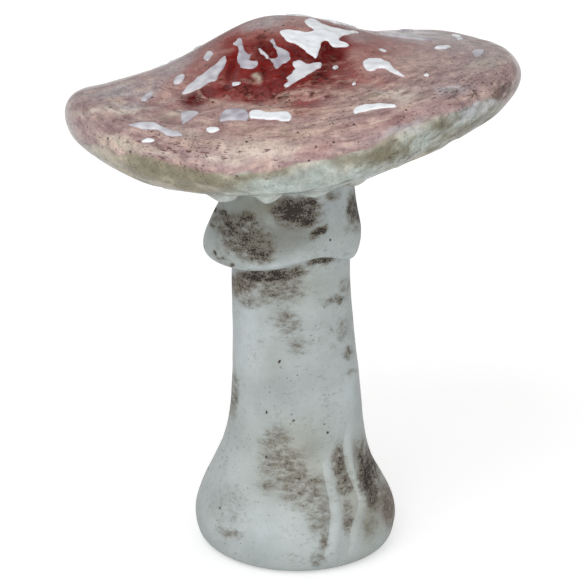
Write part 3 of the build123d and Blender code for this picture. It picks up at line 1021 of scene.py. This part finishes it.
def cap_share(places):
    """Share of the way from the top of the leaning dome to the brim."""
    brim = cad_high.x
    lean = crown_top * np.clip(1 - np.hypot(places[:, :1], places[:, 1:2]) / brim, 0.0, 1.0)
    return np.clip(np.linalg.norm(places[:, :2] - lean, axis=1) / brim, 0.0, 1.0)


def paint_daubs(colours, daubs, pixels, visible):
    """Colours with daubs painted over them where they show."""
    for *oval, tint, strength in daubs:
        colours = blend(colours, tint, strength * visible * daub(pixels, *oval))
    return colours


def below_parting(places):
    """How far points lie below the tilted plane on which the cap's shells meet."""
    level = places[:, :1] * parting_slope[0] + places[:, 1:2] * parting_slope[1] + parting_level
    return level[:, 0] - places[:, 2]


def cap_colours(places, normals, seed):
    """Colours of both glazes on the cap, which meet at a wavering edge, and where the upper one lies."""
    pixels = to_pixels(places)
    loose = ragged(places, pixels, cap_ragged, seed)
    towards = facing(places, normals)
    visible, behind = seen(towards), unseen(towards)
    share = cap_share(places) + 0.04 * wander(places, 0.03, 8)
    upper = by_share(share, crown_stops)
    upper = blend(upper, rose, patches(places, *rose_patches) * np.clip(2.0 - 3.4 * share, 0.0, 1.0))
    deep = np.exp(-(((share - 0.24) / 0.12) ** 2)) * patches(places, *crimson_patches)
    upper = blend(upper, crimson, 0.85 * deep * behind)
    outer = behind * np.clip(8 * (share - 0.4), 0.0, 1.0)
    upper = blend(upper, blush, patches(places, *blush_patches) * outer)
    upper = paint_daubs(upper, crown_daubs, loose, visible)
    upper = paint_daubs(upper, [(*blot, garnet, 0.85) for blot in dark_blots], loose, visible)
    lower = by_share(0.5 + 0.5 * wander(places, 0.03, 16), underside_stops)
    lower = paint_daubs(lower, underside_daubs, loose, visible)
    clean = visible * strongest(pixels, white_front)
    rough = visible * strongest(pixels, rough_right)
    lower = blend(lower, beige, patches(places, *beige_patches) * (1 - clean) * (1 - 0.85 * rough))
    lower = blend(lower, moss, patches(places, *rough_patches) * rough)
    lower = blend(lower, moss, patches(places, *moss_patches) * (1 - 0.85 * clean))
    edge = np.interp(pixels[:, 0], *zip(*glaze_edge))
    edge = edge + 3.5 * wander(places, 0.011, 20) + 5.0 * np.maximum(wander(places, 0.005, 21), 0.0)
    above = edge - pixels[:, 1]
    runs = glaze_run * (1 + wander(places, 0.02, 18) + 0.6 * wander(places, 0.006, 19))
    reached = np.clip((runs - below_parting(places)) / glaze_fringe, 0.0, 1.0)
    over = visible * np.clip(above / 1.6, 0.0, 1.0) + (1 - visible) * reached
    fringe = np.exp(-((above / 2.6) ** 2)) * visible
    colours = blend(lower, upper, over)
    colours = blend(colours, rust, 0.55 * fringe * patches(places, *rust_patches))
    return colours, over, share, visible, loose


def paint_cap(item, reach, seed):
    """Paint of one shell of the cap, with shares of streaks, dashes, specks and crackle for its glaze."""
    places, normals = vertex_data(item)
    colours, over, share, visible, pixels = cap_colours(places, normals, seed)
    set_colour(item, "paint", colours)
    streaks = np.clip((share - 0.36) * 3.0, 0.12, 1.0)
    set_share(item, "streak", over * streaks * (1 - 0.6 * visible * strongest(pixels, calm_daubs)))
    set_share(item, "dash", over * (0.3 + 0.7 * visible * strongest(pixels, dash_daubs)))
    specks = 0.2 + 0.8 * over + 0.6 * visible * strongest(pixels, speck_daubs)
    set_share(item, "speck", np.clip(specks, 0.0, 1.0))
    veins = np.maximum(visible * strongest(pixels, crackle_daubs), 0.25 * over * (1 - visible))
    set_share(item, "crackle", veins)
    set_flow(item, places, reach)


# Flecks on the crown, mostly painted highlights and reflections

def smooth_outline(points, steps=6):
    """A closed smooth curve through a few points."""
    points = np.array(points, float)
    before, after, later = (np.roll(points, shift, 0) for shift in (1, -1, -2))
    first = after - before
    second = 2 * before - 5 * points + 4 * after - later
    third = 3 * points - before - 3 * after + later
    curve = [0.5 * (2 * points + first * t + second * t**2 + third * t**3) for t in np.arange(steps) / steps]
    return np.stack(curve, axis=1).reshape(-1, 2)


def plan_outline(tree, outline):
    """An outline in pixels as places on the crown, seen in plan."""
    plan = []
    for across, down in smooth_outline(outline):
        spot = tree.ray_cast(Vector(camera_place), pixel_ray(across, down), camera_reach)[0]
        if spot is not None:
            wavers = [noise.noise(spot / fleck_waver_size + Vector((0, 0, shift))) for shift in (0.0, 7.7)]
            plan.append((spot.x + fleck_waver * wavers[0], spot.y + fleck_waver * wavers[1]))
    return np.array(plan)


def edge_distance(plan, outline):
    """Nearest place on a closed outline, the distance to it, and whether each spot is inside."""
    start, end = outline, np.roll(outline, -1, axis=0)
    side = end - start
    away = plan[:, None] - start[None]
    share = np.clip((away * side).sum(2) / np.maximum((side**2).sum(1), 1e-18), 0, 1)
    nearest = start[None] + share[:, :, None] * side[None]
    distance = np.linalg.norm(plan[:, None] - nearest, axis=2)
    best = distance.argmin(axis=1)
    rows = np.arange(len(plan))
    x, y = plan[:, :1], plan[:, 1:]
    crossed = (start[:, 1] > y) != (end[:, 1] > y)
    slope = side[:, 0] / np.where(np.abs(side[:, 1]) < 1e-15, 1e-15, side[:, 1])
    inside = (crossed & (x < start[:, 0] + (y - start[:, 1]) * slope)).sum(axis=1) % 2 == 1
    return nearest[rows, best], distance[rows, best], inside


def fleck_mesh(tree, outline, start):
    """Points and faces of one thin closed fleck that lies on the crown."""
    low, high = outline.min(0) - fleck_step, outline.max(0) + fleck_step
    xs, ys = (np.arange(low[k], high[k] + fleck_step, fleck_step) for k in (0, 1))
    plan = np.stack(np.meshgrid(xs, ys, indexing="ij"), axis=-1).reshape(-1, 2)
    nearest, distance, inside = edge_distance(plan, outline)
    index = np.arange(len(plan)).reshape(len(xs), len(ys))
    corners = np.stack([index[:-1, :-1], index[1:, :-1], index[1:, 1:], index[:-1, 1:]], axis=-1)
    corners = corners.reshape(-1, 4)
    corners = corners[inside[corners].sum(axis=1) >= 2]
    used = np.unique(corners)
    plan = np.where(inside[:, None], plan, nearest)
    distance = np.where(inside, distance, 0.0)
    tops, bottoms = [], []
    for k in used:
        spot, normal = tree.ray_cast(Vector((*plan[k], far)), Vector((0, 0, -1)), far)[:2]
        if spot is None:
            return [], []
        rise = 1 - (1 - min(distance[k] / fleck_edge, 1.0)) ** 2
        uneven = 0.9 + 0.6 * noise.noise(spot / fleck_fold)
        tops.append(spot + normal * (fleck_height * uneven * math.sqrt(rise) - fleck_feather))
        bottoms.append(spot - normal * fleck_sink)
    lookup = np.full(index.size, -1)
    lookup[used] = np.arange(len(used))
    quads = (lookup[corners] + start).tolist()
    edges = dict.fromkeys((a, b) for quad in quads for a, b in zip(quad, quad[1:] + quad[:1]))
    count = len(used)
    faces = quads + [[corner + count for corner in quad[::-1]] for quad in quads]
    faces += [[b, a, a + count, b + count] for a, b in edges if (b, a) not in edges]
    return tops + bottoms, faces


def make_highlight_flecks(crown):
    """All flecks of painted highlight and reflection as one piece of separate closed blobs."""
    tree = tree_over(crown.data)
    plans = [(tint, plan_outline(tree, outline)) for tint, outline in highlight_fleck_outlines]
    for which, turn in highlight_fleck_repeats:
        tint, plan = plans[which]
        c, s = math.cos(math.radians(turn)), math.sin(math.radians(turn))
        plans.append((tint, plan @ np.array([[c, s], [-s, c]])))
    points, faces, tints = [], [], []
    for tint, plan in plans:
        new_points, new_faces = fleck_mesh(tree, plan, len(points))
        points += new_points
        faces += new_faces
        tints += [tint] * len(new_points)
    item = mesh_object("crown_painted_highlight_flecks", points, faces)
    # The flecks' white is painted highlight and their lavender is painted reflection
    streaks = 0.25 * wander(np.array(points), 0.003, 30) + 0.25 * wander(np.array(points), 0.008, 31)
    shares = np.clip(np.array(tints) * (1 + 2 * streaks) + 0.5 * np.maximum(streaks, 0.0), 0.0, 1.0)
    set_colour(item, "paint", blend(np.tile(painted_highlight_white, (len(points), 1)), painted_reflection_lavender, shares))
    return item


# Stem, skirt and foot runs

def level_rings(tree, heights, count, inward):
    """Rings of a node at given heights, met by level rays."""
    centres = [Vector((0, 0, height)) for height in heights]
    lines = [[cast(tree, centre, angle, 0.0, inward) for centre in centres] for angle in around(cast_columns)]
    return turned_rings(lines, count)


def make_stem():
    tree = search_tree("stem_wall")
    foot = np.linspace(hair, foot_height, foot_rows)
    heights = np.concatenate([foot, np.linspace(1.05 * foot_height, seat_height - hair, stem_rows)])
    outer = soften(level_rings(tree, heights, stem_columns, True), 2)
    outer = dented(outer, (0, 0, seat_height / 2), lump_depth, ("first", "last"))
    inner = level_rings(tree, np.linspace(seat_height - hair, hair, bore_rows), stem_columns, False)
    return ring_object("stem_wall_glazed", np.concatenate([outer, inner]))


def lip_rise(grid):
    """How far the skirt's rings are lifted: the lip waves and the top stays."""
    azimuth = np.degrees(np.arctan2(grid[:, :, 1], grid[:, :, 0]))
    rise = np.zeros(grid.shape[:2])
    for middle, width, height in lip_waves:
        turn = (azimuth - middle + 180) % 360 - 180
        rise += height * np.exp(-((turn / width) ** 2))
    share = np.linspace(0.0, 1.0, len(grid))
    fall = np.clip((lip_share_high - share) / (lip_share_high - lip_share_low), 0.0, 1.0)
    return rise * (fall**2 * (3 - 2 * fall))[:, None]


def make_skirt():
    tree = search_tree("stem_skirt")
    lines = []
    for angle in around(cast_columns):
        met = sweep(tree, skirt_centre, angle, -skirt_turn, skirt_turn, skirt_casts, True)
        lines.append(resample(met, skirt_rows))
    outer = soften(turned_rings(lines, stem_columns), 2)
    outer = dented(outer, skirt_centre, lump_depth, ("first", "last"))
    outer[:, :, 2] += lip_rise(outer)
    back = np.linspace(0.04, 0.96, skirt_inner_rows)
    inner = [outer[-1] + (outer[0] - outer[-1]) * share for share in back]
    return ring_object("stem_skirt_glazed", np.concatenate([outer, np.array(inner)]))


def stem_paint(item, tints, oxide_and_shadow_daubs, seed):
    """Paint of a piece of the stem, and where oxide was sponged on or shadow painted."""
    places, normals = vertex_data(item)
    pixels = ragged(places, to_pixels(places), stem_ragged, seed)
    towards = facing(places, normals)
    visible = seen(towards)
    colours = by_share(0.5 + 0.5 * wander(places, 0.04, seed + 5), stem_stops)
    set_colour(item, "paint", paint_daubs(colours, tints, pixels, visible))
    behind = patches(places, oxide_patch_size, seed + 6, *oxide_patches) * unseen(towards)
    set_share(item, "oxide_and_shadow", np.maximum(visible * strongest(pixels, oxide_and_shadow_daubs), behind))


def run_path(name, heights):
    """Azimuth of a run's middle and its half width in radians at each height, met by level rays."""
    tree = search_tree(name)
    low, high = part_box(name)
    corners = [math.atan2(y, x) for x in (low.x, high.x) for y in (low.y, high.y)]
    azimuths = np.linspace(min(corners), max(corners), run_azimuths)
    path = []
    for height in heights:
        centre = Vector((0, 0, height))
        met = [azimuth for azimuth in azimuths if cast(tree, centre, azimuth, 0.0, True) is not None]
        if met:
            path.append((height, (met[0] + met[-1]) / 2, (met[-1] - met[0]) / 2))
    return np.array(path)


def make_run(name, stem):
    """A low raised run on the foot: a rounded ridge that fades into the stem's side at its edges."""
    low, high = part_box(name)
    path = run_path(name, np.linspace(low.z + 10 * hair, high.z - 10 * hair, run_casts))
    heights = np.linspace(path[0, 0], path[-1, 0], run_rows)
    middles = np.interp(heights, path[:, 0], path[:, 1])
    middles += run_waver * np.array([noise.noise((9.1, 2.3, height / run_waver_size)) for height in heights])
    widths = soften(np.interp(heights, path[:, 0], path[:, 2]) * run_spread, 3)
    tree = tree_over(stem.data)
    rings = []
    for height, middle, width, share in zip(heights, middles, widths, np.linspace(-1, 1, run_rows)):
        taper = 1 - abs(share) ** 3
        top, bottom = [], []
        for across in np.linspace(-1, 1, run_columns):
            azimuth = middle + across * width
            way = Vector((math.cos(azimuth), math.sin(azimuth), 0))
            spot = cast(tree, Vector((0, 0, height)), azimuth, 0.0, True)
            uneven = 0.85 + 0.5 * noise.noise(spot / run_grain)
            rise = run_rise * uneven * taper * (1 - across**2) ** 1.5
            top.append(spot + way * (rise - run_feather))
            bottom.append(spot - way * run_root)
        rings.append(top + bottom[::-1])
    rings = np.array(rings)
    return ring_object(name + "_glazed", rings, [rings[0].mean(axis=0), rings[-1].mean(axis=0)])


crown, crown_reach = make_crown()
paint_cap(crown, crown_reach, cap_seed)
underside, underside_reach = make_underside()
paint_cap(underside, underside_reach, cap_seed)
highlight_flecks = make_highlight_flecks(crown)
stem = make_stem()
stem_paint(stem, stem_tints, stem_oxide_and_shadow, stem_seed)
skirt = make_skirt()
stem_paint(skirt, skirt_tints, skirt_oxide, skirt_seed)

crown_material = cap_glaze("crown_glaze_red", 1.0)
underside_material = cap_glaze("underside_glaze_pale", 0.4)
stem_material = stem_glaze("stem_glaze_white")
highlight_fleck_material = highlight_fleck_paint("painted_highlight_flecks_white")
clay_material = raw_clay("raw_clay_buff")

pieces = [
    (crown, "cap_crown", "cap", "crown_glaze", crown_material),
    (underside, "cap_underside", "cap", "underside_glaze", underside_material),
    (stem, "stem_wall", "stem", "stem_glaze", stem_material),
    (skirt, "stem_skirt", "stem", "stem_glaze", stem_material),
    (highlight_flecks, None, "cap", "crown_glaze", highlight_fleck_material),
]
run_daubs = [(*oval, run_oxide * strength) for *oval, strength in stem_oxide_and_shadow]
for node in ("foot_run_left", "foot_run_right"):
    run = make_run(node, stem)
    stem_paint(run, run_tints, run_daubs, stem_seed)
    pieces.append((run, node, "stem", "stem_glaze", stem_material))

for item, node, body, slot_name, material in pieces:
    item.data.materials.append(material)
    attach(item, body)
    if node:
        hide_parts(node)

for node in ("stem_floor", "cap_flange"):
    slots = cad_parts[node].data.materials
    slots.clear()
    slots.append(clay_material)


# Floor, light and camera

def make_floor():
    """A white floor that grows paler away from the object."""
    mesh = bpy.data.meshes.new("floor")
    half = floor_half
    corners = [(-half, -half, 0), (half, -half, 0), (half, half, 0), (-half, half, 0)]
    mesh.from_pydata(corners, [], [(0, 1, 2, 3)])
    floor = bpy.data.objects.new("floor", mesh)
    bpy.context.scene.collection.objects.link(floor)
    material, tree, shader = new_material("floor_white")
    white = {"Base Color": (floor_grey, floor_grey, floor_grey, 1), "Emission Color": (1, 1, 1, 1)}
    put(tree, shader, {**white, "Roughness": 0.9, "Specular IOR Level": 0.0})
    rays = add(tree, "ShaderNodeLightPath", {})
    away = add(tree, "ShaderNodeVectorMath", {0: place(tree)}, operation="LENGTH").outputs["Value"]
    glow = ease(tree, away, glow_start, glow_end, near_glow, far_glow)
    tree.links.new(times(tree, rays.outputs["Is Camera Ray"], glow), shader.inputs["Emission Strength"])
    mesh.materials.append(material)


def area_light(name, place_at, aim, size, power, mirrored):
    lamp = bpy.data.lights.new(name, "AREA")
    lamp.shape = "DISK"
    lamp.size = size
    lamp.energy = power
    item = bpy.data.objects.new(name, lamp)
    item.location = place_at
    item.rotation_euler = (Vector(aim) - Vector(place_at)).to_track_quat("-Z", "Y").to_euler()
    item.visible_glossy = mirrored
    bpy.context.scene.collection.objects.link(item)


def make_light():
    """A white surround, dimmer in reflections from above and behind, and three soft lamps."""
    world = bpy.data.worlds.new("studio")
    world.use_nodes = True
    tree = world.node_tree
    background = tree.nodes["Background"]
    background.inputs["Color"].default_value = (1, 1, 1, 1)
    rays = add(tree, "ShaderNodeLightPath", {})
    way = add(tree, "ShaderNodeTexCoord", {}).outputs["Generated"]
    towards = add(tree, "ShaderNodeSeparateXYZ", {0: way})
    above = ease(tree, towards.outputs["Z"], 0.25, 0.8, 1.0, dim_overhead)
    mirrored = times(tree, above, ease(tree, towards.outputs["Y"], 0.0, 0.7, 1.0, dim_behind))
    mirrored = times(tree, rays.outputs["Is Glossy Ray"], sums(tree, "SUBTRACT", mirrored, ambient))
    shown = times(tree, rays.outputs["Is Camera Ray"], 1.0 - ambient)
    strength = sums(tree, "ADD", sums(tree, "ADD", shown, mirrored), ambient)
    tree.links.new(strength, background.inputs["Strength"])
    bpy.context.scene.world = world
    for lamp in lamps:
        area_light(*lamp)


def make_camera():
    data = bpy.data.cameras.new("photo_camera")
    data.sensor_width = sensor_width
    data.lens = focal_pixels / photo_size * sensor_width
    camera = bpy.data.objects.new("photo_camera", data)
    camera.location = camera_place
    camera.rotation_euler = (math.pi / 2 - camera_pitch, 0, 0)
    bpy.context.scene.collection.objects.link(camera)
    bpy.context.scene.camera = camera


make_floor()
make_light()
make_camera()
bpy.context.scene.view_settings.view_transform = "Standard"
